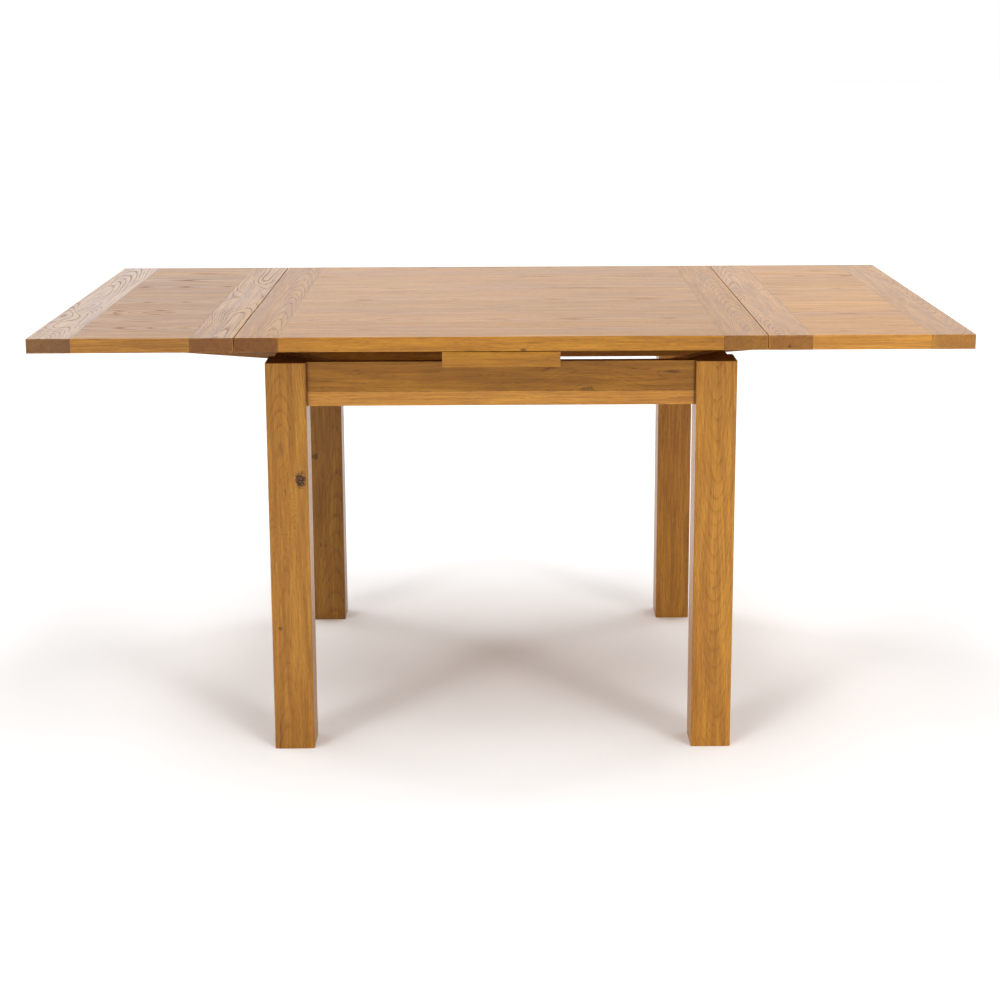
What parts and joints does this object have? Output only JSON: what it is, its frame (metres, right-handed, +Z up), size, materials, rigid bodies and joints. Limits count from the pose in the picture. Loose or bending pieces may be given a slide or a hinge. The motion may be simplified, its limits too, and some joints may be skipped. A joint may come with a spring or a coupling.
{
  "type": "extending dining table",
  "caption": "Oak extending dining table shown drawn out: draw leaves on tapered lopers stand flush with a loose centre top on a fixed cross bearer, over a square-legged frame.",
  "frame": {"origin": "on the floor under the middle of the table", "axes": "+X runs along the length to the right hand leaf, +Y runs from the front edge to the back edge, +Z is up"},
  "size_m": [1.6, 0.9, 0.75],
  "materials": {
    "panel_oak": "satin lacquered oak, grain along the length",
    "breadboard_oak": "satin lacquered oak, grain across the table",
    "leg_oak": "satin lacquered oak, upright grain",
    "frame_oak": "satin lacquered oak",
    "loper_oak": "matt sanded oak",
    "zinc_steel": "zinc plated",
    "screw_steel": "yellow passivated",
    "felt": "wool felt"
  },
  "bodies": {
    "frame": {"front_left_leg": "leg_oak", "front_right_leg": "leg_oak", "back_left_leg": "leg_oak", "back_right_leg": "leg_oak", "front_apron_board": "frame_oak", "front_apron_strip": "frame_oak", "back_apron_board": "frame_oak", "back_apron_strip": "frame_oak", "left_end_apron": "frame_oak", "right_end_apron": "frame_oak", "front_left_block": "frame_oak", "front_right_block": "frame_oak", "back_left_block": "frame_oak", "back_right_block": "frame_oak", "hanger_bolts": "zinc_steel", "bolt_washers": "zinc_steel", "bolt_nuts": "zinc_steel", "block_screws": "screw_steel", "centre_bearer": "frame_oak", "bearer_front_lip": "frame_oak", "bearer_back_lip": "frame_oak", "bearer_screws": "screw_steel"},
    "centre_top": {"centre_board_1": "panel_oak", "centre_board_2": "panel_oak", "centre_board_3": "panel_oak", "centre_board_4": "panel_oak", "centre_board_5": "panel_oak", "centre_board_6": "panel_oak", "centre_board_7": "panel_oak", "left_breadboard": "breadboard_oak", "right_breadboard": "breadboard_oak", "locating_pegs": "loper_oak", "felt_pads": "felt"},
    "left_leaf": {"left_leaf_board_1": "panel_oak", "left_leaf_board_2": "panel_oak", "left_leaf_board_3": "panel_oak", "left_leaf_board_4": "panel_oak", "left_leaf_board_5": "panel_oak", "left_leaf_board_6": "panel_oak", "left_leaf_board_7": "panel_oak", "left_leaf_inner_end": "breadboard_oak", "left_leaf_outer_end": "breadboard_oak", "left_front_loper": "loper_oak", "left_back_loper": "loper_oak", "left_stop_dowels": "loper_oak", "left_loper_screws": "screw_steel"},
    "right_leaf": {"right_leaf_board_1": "panel_oak", "right_leaf_board_2": "panel_oak", "right_leaf_board_3": "panel_oak", "right_leaf_board_4": "panel_oak", "right_leaf_board_5": "panel_oak", "right_leaf_board_6": "panel_oak", "right_leaf_board_7": "panel_oak", "right_leaf_inner_end": "breadboard_oak", "right_leaf_outer_end": "breadboard_oak", "right_front_loper": "loper_oak", "right_back_loper": "loper_oak", "right_stop_dowels": "loper_oak", "right_loper_screws": "screw_steel"}
  },
  "joints": [
    {"name": "top_lift", "type": "slide", "parent": "frame", "child": "centre_top", "axis": [0, 0, 1], "range_m": [0, 0.06]},
    {"name": "left_leaf_draw", "type": "slide", "parent": "frame", "child": "left_leaf", "axis": [-0.9973, 0, 0.0741], "range_m": [0, 0.01]},
    {"name": "right_leaf_draw", "type": "slide", "parent": "frame", "child": "right_leaf", "axis": [0.9973, 0, 0.0741], "range_m": [0, 0.01]}
  ]
}
